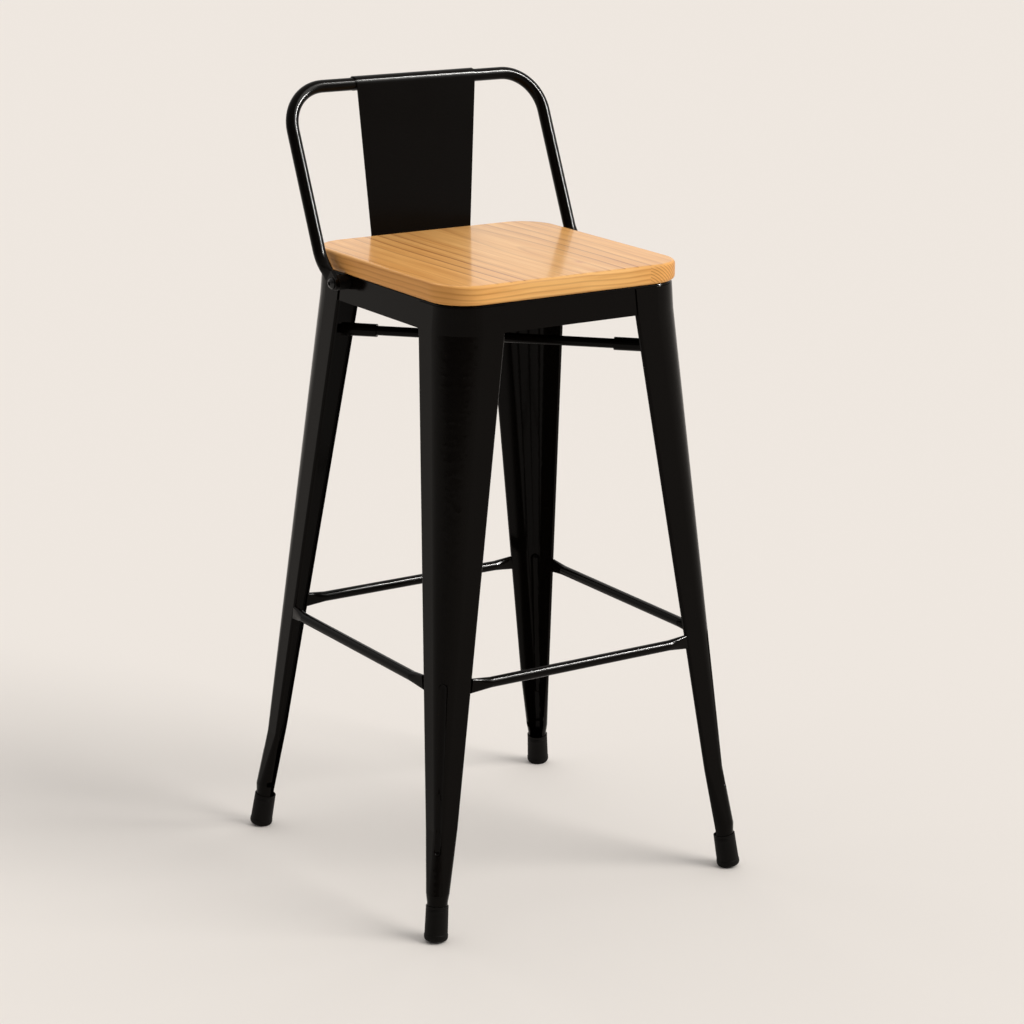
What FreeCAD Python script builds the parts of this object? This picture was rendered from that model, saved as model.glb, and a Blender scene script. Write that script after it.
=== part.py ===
import FreeCAD, Part
import math
import os
import re
import Sketcher

# Bar stool with a low backrest: a folded sheet-steel frame with four splayed legs, a footrest
# ring of round bar, crossed brace rods under a pressed pan, a solid wood seat board and a bent
# tube backrest with a sheet splat. Origin on the floor under the middle of the seat, +Z up,
# front of the stool towards -Y, millimetres.

SIZES = {
    # seat board
    "seat_height": 760, "board_side": 334, "board_thick": 23, "board_corner": 48, "board_round": 5,
    # pressed pan under the board
    "skirt_depth": 35, "pan_sheet": 1.2, "pan_bend": 3,
    # legs: half the width over opposite legs, at the skirt's lower edge and at the lower bend
    "leg_half_top": 165, "leg_half_mid": 208.5, "leg_mid": 130,
    "leg_wing_top": 73, "leg_wing_mid": 28.5, "leg_corner_top": 43, "leg_corner_mid": 9,
    "leg_sheet": 1.5, "leg_fold": 3, "leg_lip": 5, "wing_trim": 1.5, "leg_top_drop": 3.5,
    # rolled foot of each leg
    "foot_dia": 24, "foot_neck": 46, "foot_toe": 10, "neck_centre": 208.7, "toe_centre": 213,
    "foot_flat": 0.5, "ankle_height": 57, "ankle_width": 26.5,
    "notch_depth": 7, "notch_rise": 9, "notch_drop": 5,
    # groove pressed into the outer corner of each leg
    "groove_radius": 6.5, "groove_end_radius": 5, "groove_depth": 3.6,
    "groove_top": 300, "groove_bottom": 108,
    # rubber foot caps
    "cap_height": 42, "cap_wall": 1, "cap_flare": 0.9, "cap_floor": 7, "cap_round": 5, "cap_bead": 3,
    "ring_pitch": 1.8, "ring_depth": 0.4,
    # footrest rails
    "rail_height": 297.5, "rail_dia": 12.7, "rail_inset": 2,
    "rail_flat_thick": 5.5, "rail_flat_height": 18, "rail_flat_length": 26,
    # crossed brace rods and the ferrules on their ends
    "brace_drop": 46, "brace_dia": 11.8, "ferrule_dia": 16, "ferrule_length": 44, "ferrule_reach": 190,
    # backrest tube
    "tube_dia": 15.5, "tube_half_span": 180, "tube_rise": 183.5, "tube_top_back": 190, "tube_lean": 24,
    "tube_corner": 52, "tube_elbow": 45, "tube_elbow_above": 24, "bolt_back": 74, "bolt_drop": 9.5,
    "tab_thick": 5, "tab_width": 20, "tab_neck": 14, "spacer_dia": 18,
    # back splat
    "splat_sheet": 1.5, "splat_width_top": 169, "splat_width_seat": 143.5, "splat_tab": 17,
    "splat_tab_lift": 4, "splat_bend": 5, "splat_hook": 245, "splat_screw_span": 90,
    # fasteners
    "bolt_dia": 8, "bolt_head_dia": 14, "bolt_head_height": 4.6, "bolt_socket": 5, "nut_flats": 13,
    "nut_height": 6.5, "washer_dia": 15, "washer_thick": 1.6, "screw_dia": 6, "screw_head_dia": 11,
    "screw_head_height": 3.4, "screw_socket": 4, "screw_nut_flats": 10, "screw_nut_height": 5,
    "seat_screw_dia": 5, "seat_screw_head_dia": 10, "seat_screw_head_height": 3, "seat_screw_length": 17,
    "seat_screw_span": 200,
    # clearances
    "seam_gap": 0.1, "hole_gap": 0.3, "cap_gap": 0.3, "wrap_gap": 0.2, "weld_gap": 0.3,
}

doc = FreeCAD.newDocument("bar_stool")
dims = doc.addObject("Spreadsheet::Sheet", "dims")
for row, (name, size) in enumerate(SIZES.items(), 1):
    dims.set(f"A{row}", name)
    dims.set(f"B{row}", str(size))
    dims.setAlias(f"B{row}", name)
doc.recompute()


def bound(formula):
    """The formula with each size name pointing at its cell of the sheet."""
    return re.sub(r"[a-z][a-z_]*", lambda word: "dims." + word[0] if word[0] in SIZES else word[0], formula)


def number(formula):
    return float(dims.evalExpression(bound(formula)))


# Heights and positions that follow from the sizes.
PAN_TOP = "(seat_height - board_thick)"
SKIRT_BOTTOM = f"({PAN_TOP} - skirt_depth)"
LEG_TOP = f"({PAN_TOP} - leg_top_drop)"
BOLT_HEIGHT = f"({PAN_TOP} - bolt_drop)"
TUBE_TOP = "(seat_height + tube_rise)"


def along_leg(top, mid, height):
    """A leg size at a height: straight from its value at the skirt to its value at the lower bend."""
    return f"({top} + ({mid} - {top}) * ({SKIRT_BOTTOM} - ({height})) / ({SKIRT_BOTTOM} - leg_mid))"


# How far the legs and the skirt lean outwards for each millimetre down.
SPLAY = f"((leg_half_mid - leg_half_top) / ({SKIRT_BOTTOM} - leg_mid))"


def leg_half(height):
    return along_leg("leg_half_top", "leg_half_mid", height)


def leg_wing(height):
    return along_leg("leg_wing_top", "leg_wing_mid", height)


def leg_corner(height):
    return along_leg("leg_corner_top", "leg_corner_mid", height)


def new_sketch(owner, name, plane, lift):
    """An empty sketch on an origin plane of a body, lifted off it by a formula."""
    sketch = owner.newObject("Sketcher::SketchObject", name)
    base = [feature for feature in owner.Origin.OriginFeatures if feature.Role == plane][0]
    sketch.AttachmentSupport = (base, "")
    sketch.MapMode = "FlatFace"
    sketch.setExpression("AttachmentOffset.Base.z", bound(lift))
    return sketch


def outline(owner, name, plane, lift, corners):
    """A sketch of one closed outline, every corner dimensioned.

    Each corner is (x, y) or (x, y, centre x, centre y): the second form starts an arc.
    """
    sketch = new_sketch(owner, name, plane, lift)
    points = [FreeCAD.Vector(number(corner[0]), number(corner[1]), 0) for corner in corners]
    ends = []
    for index, corner in enumerate(corners):
        start, stop = points[index], points[(index + 1) % len(points)]
        if len(corner) == 2:
            edge = sketch.addGeometry(Part.LineSegment(start, stop), False)
            ends.append((edge, 1, 2))
            continue
        centre = FreeCAD.Vector(number(corner[2]), number(corner[3]), 0)
        turn = (start - centre).cross(stop - centre).z
        first, last = (start, stop) if turn > 0 else (stop, start)
        angles = [math.atan2(point.y - centre.y, point.x - centre.x) for point in (first, last)]
        if angles[1] < angles[0]:
            angles[1] += 2 * math.pi
        circle = Part.Circle(centre, FreeCAD.Vector(0, 0, 1), (start - centre).Length)
        edge = sketch.addGeometry(Part.ArcOfCircle(circle, *angles), False)
        ends.append((edge, 1, 2) if turn > 0 else (edge, 2, 1))
        across = abs(stop.y - start.y) >= abs(stop.x - start.x)
        pin(sketch, "DistanceX" if across else "DistanceY", edge, 3, corner[2] if across else corner[3])
    for index, corner in enumerate(corners):
        edge, start, _ = ends[index]
        before, _, stop = ends[index - 1]
        sketch.addConstraint(Sketcher.Constraint("Coincident", before, stop, edge, start))
        pin(sketch, "DistanceX", edge, start, corner[0])
        pin(sketch, "DistanceY", edge, start, corner[1])
    return sketch


def pin(sketch, kind, edge, point, formula):
    """Dimension one coordinate of a point from the sketch's origin, bound to the sheet."""
    bind(sketch, Sketcher.Constraint(kind, -1, 1, edge, point, number(formula)), formula)


def bind(sketch, constraint, formula):
    index = sketch.addConstraint(constraint)
    sketch.renameConstraint(index, f"size_{index}")
    sketch.setExpression(f"Constraints.size_{index}", bound(formula))


def rounded_square(half, radius):
    """Corners of a square with rounded corners, centred on the origin."""
    corners = []
    for x_sign, y_sign in ((1, 1), (-1, 1), (-1, -1), (1, -1)):
        x_side, y_side = f"{x_sign} * {half}", f"{y_sign} * {half}"
        x_mid, y_mid = f"{x_sign} * ({half} - {radius})", f"{y_sign} * ({half} - {radius})"
        first, last = (x_side, y_mid), (x_mid, y_side)
        if x_sign != y_sign:
            first, last = last, first
        corners += [(*first, x_mid, y_mid), last]
    return corners


def circle_outline(owner, name, plane, lift, spots, diameter):
    """A sketch of equal circles at the given (x, y) spots."""
    sketch = new_sketch(owner, name, plane, lift)
    for x, y in spots:
        centre = FreeCAD.Vector(number(x), number(y), 0)
        circle = Part.Circle(centre, FreeCAD.Vector(0, 0, 1), number(diameter) / 2)
        edge = sketch.addGeometry(circle, False)
        pin(sketch, "DistanceX", edge, 3, x)
        pin(sketch, "DistanceY", edge, 3, y)
        bind(sketch, Sketcher.Constraint("Diameter", edge, number(diameter)), diameter)
    return sketch


def body(name):
    return doc.addObject("PartDesign::Body", name)


def pad(owner, sketch, length, midplane=False, reverse=False):
    feature = owner.newObject("PartDesign::Pad", sketch.Name + "_pad")
    feature.Profile = sketch
    feature.setExpression("Length", bound(length))
    feature.Midplane = midplane
    feature.Reversed = reverse
    return feature


def pocket(owner, sketch, length, midplane=False, reverse=False):
    """Cut the sketch into the body and make sure that it took something away."""
    doc.recompute()
    before = owner.Shape.Volume
    feature = owner.newObject("PartDesign::Pocket", sketch.Name + "_pocket")
    feature.Profile = sketch
    feature.setExpression("Length", bound(length))
    feature.Midplane = midplane
    feature.Reversed = reverse
    doc.recompute()
    if owner.Shape.Volume >= before:
        raise RuntimeError(f"{feature.Name} cuts nothing")
    return feature


def loft(owner, name, sketches, cut=False):
    feature = owner.newObject("PartDesign::SubtractiveLoft" if cut else "PartDesign::AdditiveLoft", name)
    feature.Profile = sketches[0]
    feature.Sections = sketches[1:]
    feature.Ruled = True
    return feature


def fillet(owner, base, edges, radius, name):
    feature = owner.newObject("PartDesign::Fillet", name)
    feature.Base = (base, edges)
    feature.setExpression("Radius", bound(radius))
    return feature


def flat_edges(shape, height):
    """Names of the edges that lie in the horizontal plane at a height."""
    names = []
    for index, edge in enumerate(shape.Edges, 1):
        box = edge.BoundBox
        if abs(box.ZMin - height) < 0.01 and abs(box.ZMax - height) < 0.01:
            names.append(f"Edge{index}")
    return names


nodes = []


def finished(item, label):
    """Note a document object as a finished sub-part, under the label that names its file."""
    item.Label = label
    nodes.append(item)
    return item


# Seat board: solid wood, all edges rounded over, with blind pilot holes for the screws underneath.
SCREW_SPOTS = [(f"{x} * seat_screw_span / 2", f"{y} * seat_screw_span / 2")
               for x in (-1, 1) for y in (-1, 1)]
board = body("seat_board_body")
board_sketch = outline(board, "board_outline", "XY_Plane", PAN_TOP,
                       rounded_square("board_side / 2", "board_corner"))
board_pad = pad(board, board_sketch, "board_thick")
doc.recompute()
board_edges = flat_edges(board_pad.Shape, number("seat_height"))
board_edges += flat_edges(board_pad.Shape, number(PAN_TOP))
fillet(board, board_pad, board_edges, "board_round", "board_edge_round")
pilot_sketch = circle_outline(board, "board_pilots", "XY_Plane", PAN_TOP, SCREW_SPOTS,
                              "seat_screw_dia + seam_gap")
pocket(board, pilot_sketch, "seat_screw_length", reverse=True)
finished(board, "seat_board")


# Seat pan: one pressed sheet, a flat top with a skirt that splays like the legs.
pan = body("seat_pan_body")
pan_sketch = outline(pan, "pan_outline", "XY_Plane", SKIRT_BOTTOM,
                     rounded_square("(leg_half_top - leg_sheet - seam_gap)",
                                    "(leg_corner_top - leg_sheet - seam_gap)"))
pan_block = pad(pan, pan_sketch, "skirt_depth")
pan_block.setExpression("TaperAngle", bound(f"-atan({SPLAY})"))
doc.recompute()
pan_bend = fillet(pan, pan_block, flat_edges(pan_block.Shape, number(PAN_TOP)), "pan_bend", "pan_top_bend")
hollow_sketch = outline(pan, "pan_hollow", "XY_Plane", SKIRT_BOTTOM,
                        rounded_square("(leg_half_top - leg_sheet - seam_gap - pan_sheet)",
                                       "(leg_corner_top - leg_sheet - seam_gap - pan_sheet)"))
pan_hollow = pocket(pan, hollow_sketch, "skirt_depth - pan_sheet", reverse=True)
pan_hollow.setExpression("TaperAngle", bound(f"-atan({SPLAY})"))
bolt_holes = circle_outline(pan, "pan_bolt_holes", "YZ_Plane", "0", [("bolt_back", BOLT_HEIGHT)],
                            "bolt_dia + hole_gap")
pocket(pan, bolt_holes, "2 * leg_half_top + 20", midplane=True)
seat_holes = circle_outline(pan, "pan_seat_holes", "XY_Plane", PAN_TOP, SCREW_SPOTS,
                            "seat_screw_dia + hole_gap")
pocket(pan, seat_holes, "2 * pan_sheet", midplane=True)
INSIDE_TOP = f"({PAN_TOP} - pan_sheet)"
SPLAT_SCREW_HEIGHT = f"({SKIRT_BOTTOM} + splat_tab_lift + splat_tab / 2)"
SPLAT_SPOTS = [(f"{side} * splat_screw_span / 2", SPLAT_SCREW_HEIGHT) for side in (-1, 1)]
splat_holes = circle_outline(pan, "pan_splat_holes", "XZ_Plane", "0", SPLAT_SPOTS,
                             "screw_dia + 2 * hole_gap")
pocket(pan, splat_holes, "leg_half_top + 10")
finished(pan, "seat_pan")


# Legs: each one folded sheet, an angle with a round outer corner and in-turned lips that narrows
# to a rolled foot. Modelled once at the front left corner, then turned to the four corners.
def wing_section(half, corner, wing, fold, lip):
    """The folded sheet cut level: outer face from lip to lip, then back along the inner face."""
    side, sheet = f"-({half})", "leg_sheet"
    tip, bend, turn = f"{side} + {wing}", f"{side} + {corner}", f"{side} + {fold}"
    end, inner = f"{tip} - {fold}", f"{side} + {sheet}"
    half_way = [(tip, f"{side} + {lip}"), (tip, turn, end, turn), (end, side), (bend, side, bend, bend)]
    inside = [(inner, bend, bend, bend), (bend, inner), (end, inner, end, turn), (f"{tip} - {sheet}", turn),
              (f"{tip} - {sheet}", f"{side} + {lip}")]
    mirrored_out = [(side, bend), (side, end, turn, end), (turn, tip), (f"{side} + {lip}", tip)]
    mirrored_in = [(f"{side} + {lip}", f"{tip} - {sheet}"), (turn, f"{tip} - {sheet}", turn, end), (inner, end)]
    return half_way + mirrored_out + mirrored_in + inside


def flat_section(half, corner, wing):
    """The sheet where it lies on the skirt, without lips."""
    side, sheet = f"-({half})", "leg_sheet"
    tip, bend, inner = f"{side} + {wing}", f"{side} + {corner}", f"{side} + {sheet}"
    return [(tip, side), (bend, side, bend, bend), (side, bend), (side, tip), (inner, tip),
            (inner, bend, bend, bend), (bend, inner), (tip, inner)]


leg = body("leg_body")
ROLL = "(foot_dia / 2)"
FOOT_LEAN = "((toe_centre - neck_centre) / (foot_neck - foot_toe))"
ANKLE_SIDE = f"(neck_centre - {FOOT_LEAN} * (ankle_height - foot_neck) + ankle_width / 2)"
rolled = (f"({ROLL} - foot_flat / 2)", "foot_dia", f"({ROLL} - foot_flat)", ROLL)
leg_levels = [
    outline(leg, "leg_at_skirt", "XY_Plane", SKIRT_BOTTOM,
            wing_section("leg_half_top", "leg_corner_top", "leg_wing_top", "leg_fold", "leg_lip")),
    outline(leg, "leg_at_bend", "XY_Plane", "leg_mid",
            wing_section("leg_half_mid", "leg_corner_mid", "leg_wing_mid", "leg_fold", "leg_lip")),
    outline(leg, "leg_at_ankle", "XY_Plane", "ankle_height",
            wing_section(ANKLE_SIDE, rolled[0], "ankle_width", *rolled[2:])),
    outline(leg, "leg_at_neck", "XY_Plane", "foot_neck", wing_section(f"neck_centre + {ROLL}", *rolled)),
    outline(leg, "leg_at_toe", "XY_Plane", "foot_toe", wing_section(f"toe_centre + {ROLL}", *rolled)),
]
loft(leg, "leg_folded", leg_levels)
flat_levels = []
for name, height in (("low", SKIRT_BOTTOM), ("high", LEG_TOP)):
    rise = f"({SPLAY} * ({height} - {SKIRT_BOTTOM}))"
    flat_levels.append(outline(leg, f"leg_flat_{name}", "XY_Plane", height,
                               flat_section(f"(leg_half_top - {rise})", f"(leg_corner_top - {rise})",
                                            "leg_wing_top - wing_trim")))
loft(leg, "leg_flat", flat_levels)

# A notch in one lip of each leg, just above the rolled foot. It stops short of the outer face.
LIP_EDGE = f"-({ANKLE_SIDE} - ankle_width)"
notch = outline(leg, "lip_notch", "XZ_Plane", "0", [
    (f"{LIP_EDGE} - notch_depth", "ankle_height"), (f"{LIP_EDGE} + notch_depth", "ankle_height - notch_drop"),
    (f"{LIP_EDGE} + notch_depth", "ankle_height + notch_rise")])
pocket(leg, notch, f"{ANKLE_SIDE} - {ROLL} / 2", reverse=True)


def corner_ridge(half, corner):
    """How far out along X and Y the outermost line of the rounded corner stands."""
    return number(f"{half} - {corner} * (1 - 1 / sqrt(2))")


def capsule(name, thicker):
    """A tapered rod with round ends along the leg's outer corner, as thick as the groove or more."""
    ends = []
    for height, radius in (("groove_bottom", "groove_end_radius"), ("groove_top", "groove_radius")):
        if number(height) >= number("leg_mid"):
            ridge = corner_ridge(leg_half(height), leg_corner(height))
        else:
            share = (number("leg_mid") - number(height)) / number("leg_mid - ankle_height")
            low = corner_ridge(ANKLE_SIDE, rolled[0])
            high = corner_ridge("leg_half_mid", "leg_corner_mid")
            ridge = high + (low - high) * share
        out = ridge + (number(radius) - number("groove_depth")) / math.sqrt(2)
        ends.append((FreeCAD.Vector(-out, -out, number(height)), number(f"{radius} + {thicker}")))
    (foot, foot_radius), (head, head_radius) = ends
    along = FreeCAD.Rotation(FreeCAD.Vector(0, 0, 1), head - foot)
    shaft = doc.addObject("Part::Cone", f"{name}_shaft")
    shaft.Radius1, shaft.Radius2, shaft.Height = foot_radius, head_radius, (head - foot).Length
    shaft.Placement = FreeCAD.Placement(foot, along)
    balls = []
    for index, (centre, radius) in enumerate(ends):
        ball = doc.addObject("Part::Sphere", f"{name}_end_{index}")
        ball.Radius = radius
        ball.Placement.Base = centre
        balls.append(ball)
    whole = doc.addObject("Part::MultiFuse", name)
    whole.Shapes = [shaft, *balls]
    return whole


def combine(kind, name, base, tool):
    result = doc.addObject(f"Part::{kind}", name)
    result.Base, result.Tool = base, tool
    return result


block = body("leg_block_body")
block_levels = []
for name, height, half, corner, wing in (
        ("skirt", SKIRT_BOTTOM, "leg_half_top", "leg_corner_top", "leg_wing_top"),
        ("bend", "leg_mid", "leg_half_mid", "leg_corner_mid", "leg_wing_mid"),
        ("ankle", "ankle_height", ANKLE_SIDE, rolled[0], "ankle_width")):
    side, tip, turn = f"-{half}", f"-{half} + {wing}", f"-{half} + {corner}"
    block_levels.append(outline(block, f"block_{name}", "XY_Plane", height,
                                [(turn, side, turn, turn), (side, turn), (side, tip), (tip, tip), (tip, side)]))
loft(block, "leg_block", block_levels)
rib = combine("Common", "groove_rib", capsule("groove_backing", "leg_sheet"), block)
ribbed = combine("Fuse", "leg_ribbed", leg, rib)
leg_whole = combine("Cut", "leg_grooved", ribbed, capsule("groove_tool", "0"))

CORNERS = {"front_left": 0, "front_right": 90, "rear_right": 180, "rear_left": 270}


def placed(source, name, placement):
    """A copy of a finished shape at another place."""
    copy = body(name)
    copy.BaseFeature = source
    copy.Placement = placement
    return copy


def turned(source, label, angle):
    """A sub-part that is a copy turned about the stool's vertical middle line."""
    turn = FreeCAD.Rotation(FreeCAD.Vector(0, 0, 1), angle)
    return finished(placed(source, f"{label}_body", FreeCAD.Placement(FreeCAD.Vector(), turn)), label)


def group(label, source, placements):
    """Equal fasteners as one sub-part of separate solids."""
    copies = [placed(source, f"{label}_{index}", place) for index, place in enumerate(placements)]
    compound = doc.addObject("Part::Compound", f"{label}_group")
    compound.Links = copies
    return finished(compound, label)


def revolve(owner, name, corners):
    """Turn a half outline, given as (radius, height) corners, about the body's Z axis."""
    sketch = outline(owner, name, "XZ_Plane", "0", corners)
    feature = owner.newObject("PartDesign::Revolution", f"{name}_turn")
    feature.Profile = sketch
    feature.ReferenceAxis = (sketch, ["V_Axis"])
    feature.Angle = 360
    return feature


doc.recompute()
for corner, angle in CORNERS.items():
    turned(leg_whole, f"leg_{corner}", angle)

# Foot caps: moulded rubber cups pushed over the rolled feet, tilted with them and flat on the floor,
# with a bead round the bottom and two fine rings cut in under the top edge.
cap = body("cap_body")
BORE = f"({ROLL} + cap_gap)"
TOP = f"({BORE} + cap_wall)"
RIM = f"({TOP} + cap_flare)"
rings = []
for step in (3, 2):
    ring_foot = f"cap_height - {step} * ring_pitch"
    rings += [(TOP, ring_foot), (f"{TOP} - ring_depth", f"{ring_foot} + ring_pitch / 4"),
              (TOP, f"{ring_foot} + ring_pitch / 2")]
revolve(cap, "cap_outline", [
    ("0", "0"), (f"{RIM} - cap_round", "0", f"{RIM} - cap_round", "cap_round"), (RIM, "cap_round"),
    (RIM, "cap_round + cap_bead"), (f"{RIM} - cap_flare / 2", "cap_round + cap_bead + cap_flare"), *rings,
    (TOP, "cap_height"), (BORE, "cap_height"), (BORE, "cap_floor"), ("0", "cap_floor")])
lean = math.atan(number(FOOT_LEAN) * math.sqrt(2))
axis_up = FreeCAD.Vector(number(FOOT_LEAN), number(FOOT_LEAN), 1)
flat_radius = number(f"{RIM} - cap_round")
sink = flat_radius * math.sin(lean) * 0.4
foot_out = number(f"toe_centre + {FOOT_LEAN} * foot_toe")
cap.Placement = FreeCAD.Placement(FreeCAD.Vector(-foot_out, -foot_out, sink),
                                  FreeCAD.Rotation(FreeCAD.Vector(0, 0, 1), axis_up))
floor = doc.addObject("Part::Box", "floor_cutter")
floor.setExpression("Length", bound("3 * foot_dia"))
floor.setExpression("Width", bound("3 * foot_dia"))
floor.setExpression("Height", bound("cap_floor"))
floor_start = -foot_out - number("1.5 * foot_dia")
floor.Placement.Base = FreeCAD.Vector(floor_start, floor_start, -number("cap_floor"))
cap_whole = combine("Cut", "cap_on_floor", cap, floor)
doc.recompute()
for corner, angle in CORNERS.items():
    turned(cap_whole, f"foot_cap_{corner}", angle)


# Footrest rails: round bar, its ends pressed into upright flats and welded to the legs' lips.
def round_section(across, up, radius):
    """A circle as four arcs about a point."""
    step = f"{radius} / sqrt(2)"
    spots = [(f"{across} + {step}", f"{up} - {step}"), (f"{across} + {step}", f"{up} + {step}"),
             (f"{across} - {step}", f"{up} + {step}"), (f"{across} - {step}", f"{up} - {step}")]
    return [(*spot, across, up) for spot in spots]


def pressed_section(across, up, thick, tall):
    """A flat with bulged narrow edges, in four edges that follow those of the round section."""
    side, reach = f"{thick} / 2", f"({tall} / 2 - 0.618 * {thick} / 2)"
    return [(f"{across} + {side}", f"{up} - {reach}"),
            (f"{across} + {side}", f"{up} + {reach}", across, f"{up} + {reach} - {thick} / 4"),
            (f"{across} - {side}", f"{up} + {reach}"),
            (f"{across} - {side}", f"{up} - {reach}", across, f"{up} - {reach} + {thick} / 4")]


rail = body("rail_body")
RAIL_OUT = f"-({leg_half('rail_height')} - rail_inset)"
RAIL_END = f"({leg_half('rail_height')} - {leg_wing('rail_height')})"
END_LEAN = f"((leg_half_mid - leg_wing_mid - leg_half_top + leg_wing_top) / ({SKIRT_BOTTOM} - leg_mid))"
end_angle = math.atan(number(END_LEAN))
rail_round = outline(rail, "rail_round", "YZ_Plane", "0", round_section(RAIL_OUT, "rail_height", "rail_dia / 2"))
pad(rail, rail_round, f"2 * ({RAIL_END} - rail_flat_length)", midplane=True)
for name, side in (("left", -1), ("right", 1)):
    neck = outline(rail, f"rail_neck_{name}", "YZ_Plane", f"{side} * ({RAIL_END} - rail_flat_length)",
                   round_section(RAIL_OUT, "rail_height", "rail_dia / 2"))
    tip = outline(rail, f"rail_tip_{name}", "YZ_Plane",
                  f"{side} * ({leg_half('0')} - {leg_wing('0')} - seam_gap)",
                  pressed_section(RAIL_OUT, f"rail_height / cos(atan({END_LEAN}))",
                                  "rail_flat_thick", "rail_flat_height"))
    tip.AttachmentOffset = FreeCAD.Placement(
        FreeCAD.Vector(), FreeCAD.Rotation(FreeCAD.Vector(1, 0, 0), -side * math.degrees(end_angle)))
    loft(rail, f"rail_flat_{name}", [neck, tip])
doc.recompute()
for label, angle in (("front", 0), ("right", 90), ("rear", 180), ("left", 270)):
    turned(rail, f"footrest_{label}", angle)

# Brace rods: two round bars from corner to corner under the pan, one over the other, with a ferrule
# pressed on each end.
ROD_LOW = f"({SKIRT_BOTTOM} - brace_drop)"
ROD_HEIGHTS = {"lower": ROD_LOW, "upper": f"({ROD_LOW} + brace_dia + hole_gap)"}


def rod_reach(height):
    """Half length of a rod whose ends stand against the round inside of the legs' corners."""
    top = f"({height} + brace_dia / 2)"
    inner_half, inner_corner = f"({leg_half(top)} - leg_sheet)", f"({leg_corner(top)} - leg_sheet)"
    return number(f"sqrt(2) * ({inner_half} - {inner_corner} * (1 - 1 / sqrt(2))) - weld_gap")


def toward(angle, distance, height):
    """A placement on a rod's line, its Z axis pointing out along the line."""
    out = FreeCAD.Vector(math.cos(math.radians(angle)), math.sin(math.radians(angle)), 0)
    spot = out * distance + FreeCAD.Vector(0, 0, number(height))
    return FreeCAD.Placement(spot, FreeCAD.Rotation(FreeCAD.Vector(0, 0, 1), out))


for name, angle in (("lower", 135), ("upper", 45)):
    height = ROD_HEIGHTS[name]
    rod = doc.addObject("Part::Cylinder", f"brace_rod_{name}_bar")
    rod.setExpression("Radius", bound("brace_dia / 2"))
    rod.Height = 2 * rod_reach(height)
    rod.Placement = toward(angle, -rod_reach(height), height)
    finished(rod, f"brace_rod_{name}")

ferrule = body("ferrule_body")
ferrule_sketch = circle_outline(ferrule, "ferrule_rings", "XY_Plane", "0", [("0", "0")], "ferrule_dia")
pad(ferrule, ferrule_sketch, "ferrule_length")
ferrule_bore = circle_outline(ferrule, "ferrule_bore", "XY_Plane", "0", [("0", "0")], "brace_dia + seam_gap")
pocket(ferrule, ferrule_bore, "ferrule_length", reverse=True)
for corner, angle in (("front_left", 225), ("front_right", 315), ("rear_right", 45), ("rear_left", 135)):
    height = ROD_HEIGHTS["upper" if corner in ("front_left", "rear_right") else "lower"]
    place = toward(angle, number("ferrule_reach - ferrule_length"), height)
    finished(placed(ferrule, f"ferrule_{corner}_body", place), f"brace_ferrule_{corner}")


# Backrest tube: one bent tube, its two ends pressed flat for the bolts.
def bent_path(points, radii):
    """Edges of straight runs with a tangent arc of the given radius at each inner point."""
    edges, start = [], points[0]
    for before, corner, after, radius in zip(points, points[1:], points[2:], radii):
        way_in, way_out = (corner - before).normalize(), (after - corner).normalize()
        turn = way_in.getAngle(way_out)
        run = radius * math.tan(turn / 2)
        arc_start, arc_end = corner - way_in * run, corner + way_out * run
        inward = (way_out - way_in).normalize()
        middle = corner + inward * (radius / math.cos(turn / 2) - radius)
        edges += [Part.LineSegment(start, arc_start).toShape(), Part.Arc(arc_start, middle, arc_end).toShape()]
        start = arc_end
    return edges + [Part.LineSegment(start, points[-1]).toShape()]


def wire_object(name, edges):
    item = doc.addObject("Part::Feature", name)
    item.Shape = Part.Wire(edges)
    return item


def sweep(name, section, spine):
    result = doc.addObject("Part::Sweep", name)
    result.Sections = [section]
    result.Spine = (spine, [f"Edge{index}" for index in range(1, len(spine.Shape.Edges) + 1)])
    result.Solid = True
    return result


bolt_y, bolt_z = number("bolt_back"), number(BOLT_HEIGHT)
elbow_z = bolt_z + number("tube_elbow_above")
elbow_y = number("tube_top_back") - math.tan(math.radians(number("tube_lean"))) * (number(TUBE_TOP) - elbow_z)
half_span = number("tube_half_span")
tab_way = FreeCAD.Vector(0, bolt_y - elbow_y, bolt_z - elbow_z).normalize()
TAB_REACH = "(tab_neck + tab_width / 2 + 1)"


def on_side(side, y, z):
    return FreeCAD.Vector(side * half_span, y, z)


left_start, right_start = (on_side(side, bolt_y, bolt_z) - tab_way * number(TAB_REACH) for side in (-1, 1))
tube_points = [left_start, on_side(-1, elbow_y, elbow_z),
               on_side(-1, number("tube_top_back"), number(TUBE_TOP)),
               on_side(1, number("tube_top_back"), number(TUBE_TOP)),
               on_side(1, elbow_y, elbow_z), right_start]
tube_bends = [number(name) for name in ("tube_elbow", "tube_corner", "tube_corner", "tube_elbow")]
tube_line = wire_object("tube_centre_line", bent_path(tube_points, tube_bends))
tube_ring = doc.addObject("Part::Circle", "tube_section")
tube_ring.setExpression("Radius", bound("tube_dia / 2"))
tube_ring.Placement = FreeCAD.Placement(left_start, FreeCAD.Rotation(FreeCAD.Vector(0, 0, 1), tab_way * -1))
tube_bar = sweep("tube_bar", tube_ring, tube_line)

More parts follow.
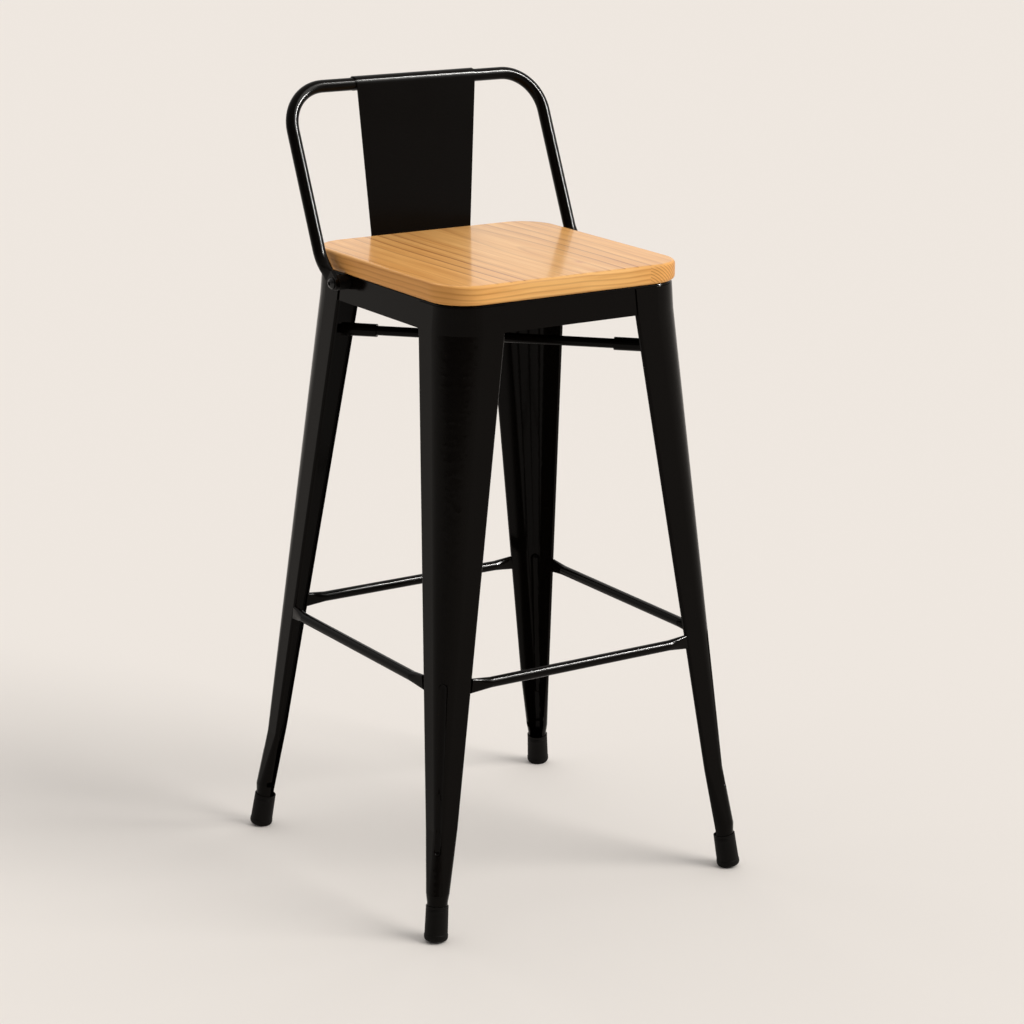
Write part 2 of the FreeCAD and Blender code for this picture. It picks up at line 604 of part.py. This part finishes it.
tab = body("tab_body")
loft(tab, "tab_neck", [
    outline(tab, "tab_round", "XY_Plane", "0", round_section("0", "0", "tube_dia / 2")),
    outline(tab, "tab_pressed", "XY_Plane", "tab_neck", pressed_section("0", "0", "tab_thick", "tab_width"))])
R_TAB = "tab_width / 2"
tab_face = outline(tab, "tab_face", "YZ_Plane", "0", [
    (f"-{R_TAB}", "tab_neck"), (R_TAB, "tab_neck"), (R_TAB, TAB_REACH, "0", TAB_REACH),
    ("0", f"{TAB_REACH} + {R_TAB}", "0", TAB_REACH), (f"-{R_TAB}", TAB_REACH)])
pad(tab, tab_face, "tab_thick", midplane=True)
tab_hole = circle_outline(tab, "tab_hole", "YZ_Plane", "0", [("0", TAB_REACH)], "bolt_dia + hole_gap")
pocket(tab, tab_hole, "2 * tab_thick", midplane=True)
across = FreeCAD.Vector(1, 0, 0)
tab_turn = FreeCAD.Rotation(across, tab_way.cross(across), tab_way, "ZXY")
tube_whole = doc.addObject("Part::MultiFuse", "backrest_tube_whole")
tube_whole.Shapes = [tube_bar, placed(tab, "tab_left", FreeCAD.Placement(left_start, tab_turn)),
                     placed(tab, "tab_right", FreeCAD.Placement(right_start, tab_turn))]
finished(tube_whole, "backrest_tube")

# Back splat: one sheet, rolled over the top of the tube, down behind the board and bent in to a
# tab on the rear of the skirt.
sheet_half = number("splat_sheet") / 2
tab_low = number(f"{SKIRT_BOTTOM} + splat_tab_lift")
tab_high = tab_low + number("splat_tab")


def on_skirt(height):
    """A point of the sheet's middle where it lies on the rear of the skirt."""
    back = number(f"leg_half_top - leg_sheet - {SPLAY} * ({height} - {SKIRT_BOTTOM})") + sheet_half
    return FreeCAD.Vector(0, back, height)


rear_of_seat = max(number("board_side / 2"), number(f"leg_half_top - {SPLAY} * skirt_depth"))
behind_board = FreeCAD.Vector(0, rear_of_seat + number("hole_gap") + sheet_half, number(PAN_TOP))
bar_centre = FreeCAD.Vector(0, number("tube_top_back"), number(TUBE_TOP))
hook_radius = number("tube_dia / 2 + wrap_gap") + sheet_half
to_bar = bar_centre - behind_board
panel_lean = math.atan2(to_bar.y, to_bar.z) - math.asin(hook_radius / to_bar.Length)
panel_length = math.sqrt(to_bar.Length ** 2 - hook_radius ** 2)
hook_start = behind_board + FreeCAD.Vector(0, math.sin(panel_lean), math.cos(panel_lean)) * panel_length


def on_hook(degrees):
    """A point of the rolled top, so many degrees past its start, over the tube and down behind it."""
    angle = math.pi - panel_lean - math.radians(degrees)
    return bar_centre + FreeCAD.Vector(0, math.cos(angle), math.sin(angle)) * hook_radius


splat_edges = bent_path([on_skirt(tab_low), on_skirt(tab_high), behind_board, hook_start],
                        [number("splat_bend")] * 2)
hook_middle, hook_end = on_hook(number("splat_hook") / 2), on_hook(number("splat_hook"))
splat_edges.append(Part.Arc(hook_start, hook_middle, hook_end).toShape())
splat_line = wire_object("splat_side_line", splat_edges)
blank_half = number("splat_width_top")
sheet_across = (on_skirt(tab_high) - on_skirt(tab_low)).cross(across).normalize() * sheet_half
ends = [on_skirt(tab_low) + across * side * blank_half + sheet_across * face
        for side, face in ((-1, -1), (1, -1), (1, 1), (-1, 1))]
splat_section = wire_object("splat_section", Part.makePolygon(ends + ends[:1]).Edges)
splat_strip = sweep("splat_strip", splat_section, splat_line)
trim = body("splat_trim_body")
SPREAD = "((splat_width_top - splat_width_seat) / 2 / tube_rise)"


def splat_half(height):
    return f"(splat_width_seat / 2 + {SPREAD} * ({height} - seat_height))"


TRIM_LOW, TRIM_HIGH = f"({SKIRT_BOTTOM} - 10)", f"({TUBE_TOP} + 30)"
trim_sketch = outline(trim, "splat_trim", "XZ_Plane", "0", [
    (f"-{splat_half(TRIM_LOW)}", TRIM_LOW), (splat_half(TRIM_LOW), TRIM_LOW),
    (splat_half(TRIM_HIGH), TRIM_HIGH), (f"-{splat_half(TRIM_HIGH)}", TRIM_HIGH)])
pad(trim, trim_sketch, "tube_top_back * 2", reverse=True)
splat_cut = combine("Common", "splat_sheet", splat_strip, trim)
skirt_lean = math.degrees(math.atan(number(SPLAY)))


def on_splat(side, outwards):
    """A placement on a splat screw's line, its Z axis square to the skirt and pointing backwards."""
    away = FreeCAD.Vector(0, math.cos(math.radians(skirt_lean)), math.sin(math.radians(skirt_lean)))
    spot = on_skirt(number(SPLAT_SCREW_HEIGHT)) + FreeCAD.Vector(side * number("splat_screw_span / 2"), 0, 0)
    return FreeCAD.Placement(spot + away * outwards, FreeCAD.Rotation(FreeCAD.Vector(0, 0, 1), away))


drills = []
for side in (-1, 1):
    drill = doc.addObject("Part::Cylinder", f"splat_drill_{'left' if side < 0 else 'right'}")
    drill.setExpression("Radius", bound("(screw_dia + hole_gap) / 2"))
    drill.setExpression("Height", bound("2 * splat_bend"))
    drill.Placement = on_splat(side, -number("splat_bend"))
    drills.append(drill)
drill_pair = doc.addObject("Part::MultiFuse", "splat_drills")
drill_pair.Shapes = drills
finished(combine("Cut", "splat_whole", splat_cut, drill_pair), "backrest_splat")

# Spacers: short sleeves that hold the tube's tabs off the skirt, cut to the skirt's lean.
TAB_INSIDE = "(tube_half_span - tab_thick / 2)"
spacer = body("spacer_body")
spacer_ring = circle_outline(spacer, "spacer_ring", "YZ_Plane", f"-{TAB_INSIDE}",
                             [("bolt_back", BOLT_HEIGHT)], "spacer_dia")
pad(spacer, spacer_ring, f"{TAB_INSIDE} - leg_half_top + 20")
spacer_bore = circle_outline(spacer, "spacer_bore", "YZ_Plane", f"-{TAB_INSIDE}",
                             [("bolt_back", BOLT_HEIGHT)], "bolt_dia + hole_gap")
pocket(spacer, spacer_bore, "80", midplane=True)
pan_solid = placed(pan_bend, "pan_solid_body", FreeCAD.Placement())
spacer_left = combine("Cut", "spacer_left_cut", spacer, pan_solid)
finished(spacer_left, "backrest_spacer_left")
spacer_right = doc.addObject("Part::Mirroring", "spacer_right_mirror")
spacer_right.Source = spacer_left
spacer_right.Normal = across
finished(spacer_right, "backrest_spacer_right")


# Fasteners. A screw's local Z axis points out of its head; the underside of the head is at 0.
def screw(name, dia, head_dia, head_height, length, socket):
    item = body(f"{name}_body")
    rise = f"({head_height} * 0.8)"
    dome = f"((({head_dia}) / 2) ^ 2 + {rise} ^ 2) / (2 * {rise})"
    revolve(item, f"{name}_outline", [
        ("0", f"-{length}"), (f"{dia} / 2", f"-{length}"), (f"{dia} / 2", "0"), (f"{head_dia} / 2", "0"),
        (f"{head_dia} / 2", f"{head_height} * 0.2", "0", f"{head_height} - {dome}"), ("0", head_height)])
    pocket(item, hexagon(item, f"{name}_socket", socket, head_height), f"{head_height} * 0.6")
    return item


def hexagon(owner, name, flats, lift):
    """A hexagon given by its width over flats."""
    spots = [(f"{flats} / sqrt(3) * cos({60 * step})", f"{flats} / sqrt(3) * sin({60 * step})")
             for step in range(6)]
    return outline(owner, name, "XY_Plane", lift, spots)


def ring(name, outside, bore, height):
    item = body(f"{name}_body")
    pad(item, outside(item), height)
    hole = circle_outline(item, f"{name}_bore", "XY_Plane", "0", [("0", "0")], bore)
    pocket(item, hole, height, reverse=True)
    return item


def on_bolt(side, distance):
    """A placement on a backrest bolt's line, its Z axis pointing out sideways."""
    away = FreeCAD.Vector(side, 0, 0)
    spot = FreeCAD.Vector(side * distance, bolt_y, bolt_z)
    return FreeCAD.Placement(spot, FreeCAD.Rotation(FreeCAD.Vector(0, 0, 1), away))


WASHER_TOP = f"({BOLT_HEIGHT} + washer_dia / 2)"
SKIRT_INSIDE = "(leg_half_top - leg_sheet - seam_gap - pan_sheet)"
WASHER_OUT = number(f"{SKIRT_INSIDE} - {SPLAY} * ({WASHER_TOP} - {SKIRT_BOTTOM})")
NUT_IN = WASHER_OUT - number("washer_thick + nut_height")
bolt_length = number("tube_half_span + tab_thick / 2") - NUT_IN + 2
bolt = screw("bolt", "bolt_dia", "bolt_head_dia", "bolt_head_height", str(bolt_length), "bolt_socket")
washer = ring("washer", lambda item: circle_outline(item, "washer_edge", "XY_Plane", "0", [("0", "0")],
                                                    "washer_dia"),
              "bolt_dia + hole_gap", "washer_thick")
nut = ring("nut", lambda item: hexagon(item, "nut_edge", "nut_flats", "0"), "bolt_dia + seam_gap",
           "nut_height")
splat_nut = ring("splat_nut", lambda item: hexagon(item, "splat_nut_edge", "screw_nut_flats", "0"),
                 "screw_dia + seam_gap", "screw_nut_height")
NUT_FACE = number("pan_sheet + seam_gap + splat_sheet / 2")
screw_length = number("splat_sheet / 2 + screw_nut_height") + NUT_FACE + 1.5
splat_screw = screw("splat_screw", "screw_dia", "screw_head_dia", "screw_head_height", str(screw_length),
                    "screw_socket")
seat_screw = screw("seat_screw", "seat_screw_dia", "seat_screw_head_dia", "seat_screw_head_height",
                   "(seat_screw_length + pan_sheet - 1)", "screw_socket")
doc.recompute()
group("backrest_bolts", bolt, [on_bolt(side, number("tube_half_span + tab_thick / 2")) for side in (-1, 1)])
group("backrest_washers", washer, [on_bolt(side, WASHER_OUT - number("washer_thick")) for side in (-1, 1)])
group("backrest_nuts", nut, [on_bolt(side, NUT_IN) for side in (-1, 1)])
group("splat_screws", splat_screw, [on_splat(side, sheet_half) for side in (-1, 1)])
group("splat_nuts", splat_nut, [on_splat(side, -NUT_FACE - number("screw_nut_height")) for side in (-1, 1)])
downwards = FreeCAD.Rotation(across, 180)
group("seat_screws", seat_screw, [
    FreeCAD.Placement(FreeCAD.Vector(number(x), number(y), number(INSIDE_TOP)), downwards)
    for x, y in SCREW_SPOTS])

doc.recompute()
for item in doc.Objects:
    if "Invalid" in item.State or "Error" in item.State:
        raise RuntimeError(f"{item.Name} failed: {item.State}")
os.makedirs("parts", exist_ok=True)
for item in nodes:
    if item.Shape.isNull() or not item.Shape.isValid():
        raise RuntimeError(f"{item.Label} has no valid shape")
    item.Shape.exportStep(f"parts/{item.Label}.step")
    print(f"{item.Label}: {len(item.Shape.Solids)} solid(s), {item.Shape.Volume / 1000:.1f} cm3")
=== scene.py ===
import math

import bpy
from mathutils import Matrix, Vector


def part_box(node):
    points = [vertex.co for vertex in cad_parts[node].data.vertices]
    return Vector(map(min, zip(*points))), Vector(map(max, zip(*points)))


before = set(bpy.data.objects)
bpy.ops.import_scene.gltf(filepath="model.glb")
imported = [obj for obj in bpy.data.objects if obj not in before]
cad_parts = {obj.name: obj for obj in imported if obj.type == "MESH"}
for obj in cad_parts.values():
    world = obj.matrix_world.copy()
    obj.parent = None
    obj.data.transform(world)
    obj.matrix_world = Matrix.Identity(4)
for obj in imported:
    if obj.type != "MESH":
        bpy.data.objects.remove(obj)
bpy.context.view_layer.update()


# Stand: the stool stands on a plain pale floor in a soft studio. The camera looks down a little
# onto the front left leg from about three and a half metres away, through a long lens.
floor_side = 60
bpy.ops.object.select_all(action="DESELECT")
bpy.ops.mesh.primitive_plane_add(size=floor_side, location=(0, 0, 0))
floor = bpy.context.object
floor.name = "studio_floor"

camera_place = (-1.852, -2.859, 1.406)
camera_turn, camera_tilt, camera_roll = math.radians(-33.23), math.radians(15.85), math.radians(0.53)
backwards = Vector((math.sin(camera_turn) * math.cos(camera_tilt),
                    -math.cos(camera_turn) * math.cos(camera_tilt), math.sin(camera_tilt)))
level_right = Vector((0, 0, 1)).cross(backwards).normalized()
level_up = backwards.cross(level_right)
right = level_right * math.cos(camera_roll) + level_up * math.sin(camera_roll)
up = level_up * math.cos(camera_roll) - level_right * math.sin(camera_roll)
camera_data = bpy.data.cameras.new("camera")
camera_data.lens = 101.67
camera_data.shift_x = 0.0041
camera_data.shift_y = -0.0015
camera = bpy.data.objects.new("camera", camera_data)
camera_aim = Matrix((right, up, backwards)).transposed().to_4x4()
camera.matrix_world = Matrix.Translation(camera_place) @ camera_aim
bpy.context.scene.collection.objects.link(camera)
bpy.context.scene.camera = camera


class Value:
    """A shader socket, or a number, that adds, subtracts, multiplies and takes powers like a number."""

    def __init__(self, shading, source):
        self.shading, self.source = shading, source

    def math(self, operation, *others):
        sockets = dict(enumerate((self, *others)))
        node = self.shading.node("ShaderNodeMath", {"operation": operation}, sockets)
        return Value(self.shading, node.outputs[0])

    def __add__(self, other):
        return self.math("ADD", other)

    def __radd__(self, other):
        return self.math("ADD", other)

    def __sub__(self, other):
        return self.math("SUBTRACT", other)

    def __rsub__(self, other):
        return Value(self.shading, other).math("SUBTRACT", self)

    def __mul__(self, other):
        return self.math("MULTIPLY", other)

    def __rmul__(self, other):
        return self.math("MULTIPLY", other)

    def __pow__(self, other):
        return self.math("POWER", other)


class Shading:
    """A node tree whose nodes are added one by one."""

    def __init__(self, tree):
        self.tree = tree

    def put(self, socket, value):
        """Give a socket a number, a colour or another node's output."""
        if isinstance(value, Value):
            value = value.source
        if isinstance(value, bpy.types.NodeSocket):
            self.tree.links.new(value, socket)
        else:
            socket.default_value = value

    def node(self, kind, settings, sockets):
        """Add a node: its settings first, then its sockets by name or number. Stops are grey shades."""
        node = self.tree.nodes.new(kind)
        for name, value in settings.items():
            if name == "stops":
                elements = node.color_ramp.elements
                while len(elements) < len(value):
                    elements.new(0.5)
                for element, (position, shade) in zip(elements, value):
                    element.position = position
                    element.color = (shade, shade, shade, 1)
            else:
                setattr(node, name, value)
        for key, value in sockets.items():
            self.put(node.inputs[key], value)
        return node


class Finish(Shading):
    """A material, with the object's own place and the surface's own direction to hand."""

    def __init__(self, name):
        self.material = bpy.data.materials.new(name)
        self.material.use_nodes = True
        super().__init__(self.material.node_tree)
        coordinates = self.node("ShaderNodeTexCoord", {}, {})
        self.place, self.facing = coordinates.outputs["Object"], coordinates.outputs["Normal"]

    def noise(self, scale, detail, vector=None, roughness=0.5):
        node = self.node("ShaderNodeTexNoise", {}, {
            "Vector": vector or self.place, "Scale": scale, "Detail": detail, "Roughness": roughness})
        return Value(self, node.outputs["Fac"])

    def stretched(self, scale, shift=(0, 0, 0)):
        """The object's place, scaled and shifted, for a pattern that is drawn out along the grain."""
        sockets = {"Vector": self.place, "Scale": scale, "Location": shift}
        return self.node("ShaderNodeMapping", {}, sockets).outputs[0]

    def parts(self, vector):
        node = self.node("ShaderNodeSeparateXYZ", {}, {"Vector": vector})
        return (Value(self, output) for output in node.outputs)

    def ramp(self, factor, stops):
        return Value(self, self.node("ShaderNodeValToRGB", {"stops": stops}, {0: factor}).outputs[0])

    def mix(self, factor, first, second):
        """Blend two colours. The node keeps its colour inputs at 6 and 7 and its colour output at 2."""
        node = self.node("ShaderNodeMix", {"data_type": "RGBA"}, {0: factor, 6: first, 7: second})
        return node.outputs[2]

    def bump(self, height, strength, distance):
        sockets = {"Height": height, "Strength": strength, "Distance": distance}
        return self.node("ShaderNodeBump", {}, sockets).outputs[0]

    def set(self, **sockets):
        shader = self.tree.nodes["Principled BSDF"]
        for name, value in sockets.items():
            self.put(shader.inputs[name.replace("_", " ")], value)

    def cover(self, *names):
        for name in names:
            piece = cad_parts[name].data
            piece.materials.clear()
            piece.materials.append(self.material)


floor_finish = Finish("pale_floor")
floor_finish.set(Base_Color=(0.815, 0.79, 0.768, 1), Roughness=0.6, Specular_IOR_Level=0.0)
floor.data.materials.append(floor_finish.material)

# The room is bright behind the stool and on its right, and dim on the camera's side. To the camera
# itself it is one even pale shade, close to the floor's.
brightest_way = (0.50, 0.72, 0.48)
room_dim, room_bright, room_seen = 0.10, 1.05, 0.84
dim_from, bright_from = -0.6, 0.9
world = bpy.data.worlds.new("studio")
world.use_nodes = True
bpy.context.scene.world = world
room = Shading(world.node_tree)
looking = room.node("ShaderNodeTexCoord", {}, {}).outputs["Generated"]
across_room = room.node("ShaderNodeVectorMath", {"operation": "DOT_PRODUCT"}, {0: looking, 1: brightest_way})
glow = room.node("ShaderNodeMapRange", {}, {
    "Value": across_room.outputs["Value"], "From Min": dim_from, "From Max": bright_from,
    "To Min": room_dim, "To Max": room_bright})
to_camera = room.node("ShaderNodeLightPath", {}, {}).outputs["Is Camera Ray"]
room_strength = room.node("ShaderNodeMix", {}, {
    "Factor": to_camera, "A": glow.outputs["Result"], "B": room_seen})
background = world.node_tree.nodes["Background"]
room.put(background.inputs["Color"], (1.0, 0.965, 0.925, 1))
room.put(background.inputs["Strength"], room_strength.outputs["Result"])
bpy.context.scene.view_settings.view_transform = "Standard"


def aimed(name, kind, place, aim, power, colour):
    """A lamp at a place, turned so that it shines at a point."""
    data = bpy.data.lights.new(name, kind)
    data.energy = power
    data.color = colour
    lamp = bpy.data.objects.new(name, data)
    bpy.context.scene.collection.objects.link(lamp)
    lamp.location = place
    lamp.rotation_euler = (Vector(aim) - Vector(place)).to_track_quat("-Z", "Y").to_euler()
    return lamp


# Daylight from a large window, high at the front right. Its spread keeps the shadows soft.
window = aimed("window", "SUN", (2.55, -3.05, 3.6), (0, 0, 0), 1.75, (1.0, 0.955, 0.90))
window_spread = math.radians(34)
window.data.angle = window_spread

# A tall narrow strip to the front right puts the thin bright lines on the steel. Only reflections
# show it, and further down it is linked to the coated steel alone.
strip_height, strip_length, strip_width = 2.95, 3.3, 0.11
strip = aimed("strip", "AREA", (2.45, -2.06, strip_height), (0, 0, strip_height), 1150, (1.0, 0.98, 0.95))
strip.data.shape = "RECTANGLE"
strip.data.size, strip.data.size_y = strip_width, strip_length
strip.visible_diffuse = False


# Seat board: pine staves glued side by side, sanded round at the edges, lacquered, and screwed to the
# pan from below. The grain runs from front to back. The right-hand stave shows slanted rings on the
# board's front and rear ends.
wood = Finish("lacquered_pine")
board_low, board_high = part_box("seat_board")
x, y, z = wood.parts(wood.place)
facing_side, facing_end, facing_up = wood.parts(wood.facing)
up_share = wood.ramp(facing_up.math("ABSOLUTE"), [(0.80, 0.0), (0.97, 1.0)])
end_share = wood.ramp(facing_end.math("ABSOLUTE"), [(0.60, 0.0), (0.80, 1.0)])
side_shade_mask = wood.ramp(facing_side.math("ABSOLUTE"), [(0.25, 0.0), (0.75, 1.0)])

# Growth lines on the top: long arches round a point ahead of the middle and to its right. They
# wander a little, and are faint in places.
top_ring_width, arch_roundness = 0.0185, 0.15
heart_x, heart_y = board_high.x * 0.25, board_low.y * 0.55
sway = wood.noise(7, 3, wood.stretched((1, 0.28, 1)))
drift = wood.noise(2.2, 1, wood.stretched((1, 0.5, 1)))
arch = ((x - heart_x) ** 2 + ((y - heart_y) * arch_roundness) ** 2).math("SQRT")
top_rings = (arch * (1 / top_ring_width) + sway * 1.3 + drift * 5.5).math("FRACT")
top_late = wood.ramp(top_rings, [
    (0.0, 0.10), (0.07, 0.0), (0.45, 0.06), (0.76, 0.32), (0.89, 1.0), (0.955, 0.85), (1.0, 0.10)])
line_weight = wood.ramp(wood.noise(14, 1, wood.stretched((1, 0.12, 1), (3, 1, 0))), [
    (0.36, 0.12), (0.64, 1.0)])
top_lines = top_late * line_weight

# The same lines where the board's long sides and ends cut them: nearly level streaks.
level_ring_width = 0.0062
level_wander = wood.noise(7, 2, wood.stretched((1, 1, 0.2), (0, 2, 1)))
level_rings = (z * (1 / level_ring_width) + level_wander * 1.5).math("FRACT")
side_lines = 0.55 * wood.ramp(level_rings, [
    (0.0, 0.2), (0.12, 0.0), (0.6, 0.15), (0.86, 0.9), (1.0, 0.2)])

# The last stave on the right: its rings stand at a slant on the end faces.
end_ring_width, heart_below, stave_sharpness = 0.0034, 0.032, 4000
stave_edge, stave_heart = board_high.x * 0.65, board_high.x * 0.55
stave_arch = ((x - stave_heart) ** 2 + (z - board_low.z + heart_below) ** 2).math("SQRT")
end_rings = (stave_arch * (1 / end_ring_width) + sway * 1.2).math("FRACT")
end_late = wood.ramp(end_rings, [(0.0, 0.25), (0.15, 0.0), (0.6, 0.2), (0.88, 1.0), (1.0, 0.25)])
in_stave = ((x - stave_edge) * stave_sharpness).math("MAXIMUM", 0).math("MINIMUM", 1)
end_lines = side_lines * (1 - in_stave) + end_late * 0.9 * in_stave
lines = top_lines * up_share + (end_lines * end_share + side_lines * (1 - end_share)) * (1 - up_share)

# The wood's own colour: pale and honey patches, darker flecks and fibres, and the lines over them.
# The long sides are also painted a deeper, darker brown than the top: painted shade.
pale, honey, brown = (0.97, 0.575, 0.215, 1), (0.90, 0.450, 0.125, 1), (0.36, 0.115, 0.024, 1)
fleck_colour, fibre_colour = (0.74, 0.34, 0.085, 1), (0.68, 0.30, 0.075, 1)
side_shade_colour, knot_colour = (0.50, 0.20, 0.045, 1), (0.55, 0.17, 0.06, 1)
patch_contrast, fleck_contrast, fibre_contrast = 2.2, 2.4, 1.8
side_shade_depth, line_depth, knot_depth = 0.45, 0.82, 0.7
patch = wood.noise(7, 1, wood.stretched((1, 0.3, 1), (5, 2, 0)))
fleck = wood.noise(85, 3, wood.stretched((1, 0.05, 1), (1, 4, 2)), roughness=0.65)
fibre = wood.noise(330, 3, wood.stretched((1, 0.022, 1)), roughness=0.7)
streaks = wood.noise(230, 3, wood.stretched((0.055, 0.03, 1)), roughness=0.6)
grain = fibre * up_share + streaks * (1 - up_share)
ground = wood.mix((patch - 0.5) * patch_contrast + 0.5, honey, pale)
ground = wood.mix(((fleck - 0.5) * fleck_contrast + 0.30) * up_share, ground, fleck_colour)
ground = wood.mix((grain - 0.45) * fibre_contrast, ground, fibre_colour)
# Painted shade: the long sides are darkened towards a deeper brown.
ground = wood.mix(side_shade_mask * (1 - up_share) * side_shade_depth, ground, side_shade_colour)
ground = wood.mix(lines * line_depth, ground, brown)

# One small knot near the front, drawn out along the grain.
squash_along_grain, knot_sharpness = 0.45, 60
knot_place = (board_high.x * 0.30, board_low.y * 0.62 * squash_along_grain, board_high.z)
from_knot = wood.node("ShaderNodeVectorMath", {"operation": "DISTANCE"}, {
    0: wood.stretched((1, squash_along_grain, 1)), 1: knot_place})
knot_reach = Value(wood, from_knot.outputs["Value"]) * knot_sharpness + (fleck - 0.5) * 0.4
knot = wood.ramp(knot_reach, [(0.06, 0.80), (0.20, 0.30), (0.42, 0.0)])
ground = wood.mix(knot * knot_depth, ground, knot_colour)

wood.set(Base_Color=ground, Roughness=0.42, Coat_Weight=up_share * 0.40 + 0.02, Coat_Roughness=0.12,
         Specular_IOR_Level=0.10, Normal=wood.bump(lines * -0.4 + fibre * 0.3, 0.10, 0.0005))
wood.cover("seat_board")


# Frame: legs, pan and splat of folded and pressed mild steel sheet, rails, rods and tube of round
# stock. It is welded and bolted up, and every piece has the same satin black powder coat.
corners = ("front_left", "front_right", "rear_right", "rear_left")
steel = ["seat_pan", "backrest_tube", "backrest_splat", "brace_rod_lower", "brace_rod_upper"]
steel += [f"leg_{corner}" for corner in corners]
steel += [f"brace_ferrule_{corner}" for corner in corners]
steel += [f"footrest_{side}" for side in ("front", "right", "rear", "left")]
coat = Finish("black_powder_coat")
coat.set(Base_Color=(0.0024, 0.0017, 0.0012, 1), Specular_IOR_Level=0.065,
         Roughness=0.125 + 0.055 * coat.noise(12, 3), Normal=coat.bump(coat.noise(700, 2), 0.04, 0.0003))
coat.cover(*steel)
lit_by_strip = bpy.data.collections.new("lit_by_strip")
for name in steel:
    lit_by_strip.objects.link(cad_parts[name])
strip.light_linking.receiver_collection = lit_by_strip


# Fasteners: socket screws, washers and nuts of steel, zinc-plated and blackened. They hold the
# backrest's ends, the splat's tab and the seat board.
fastener_finish = Finish("black_zinc")
fastener_finish.set(Base_Color=(0.006, 0.006, 0.006, 1), Roughness=0.25, Specular_IOR_Level=0.3)
fastener_finish.cover("backrest_bolts", "backrest_washers", "backrest_nuts", "splat_screws", "splat_nuts",
                      "seat_screws")


# Foot caps and spacers: moulded black rubber, dull and a little dusty. The caps are pushed over the
# rolled feet, and the spacers sit between the backrest's ends and the pan's skirt.
rubber_dark, rubber_dusty = (0.0022, 0.0019, 0.0016, 1), (0.0050, 0.0043, 0.0036, 1)
rubber = Finish("black_rubber")
dust = rubber.noise(40, 4, roughness=0.7)
rubber.set(Base_Color=rubber.mix(dust, rubber_dark, rubber_dusty), Roughness=0.55,
           Specular_IOR_Level=0.10, Normal=rubber.bump(rubber.noise(1500, 2), 0.15, 0.0002))
rubber.cover(*(f"foot_cap_{corner}" for corner in corners), "backrest_spacer_left", "backrest_spacer_right")
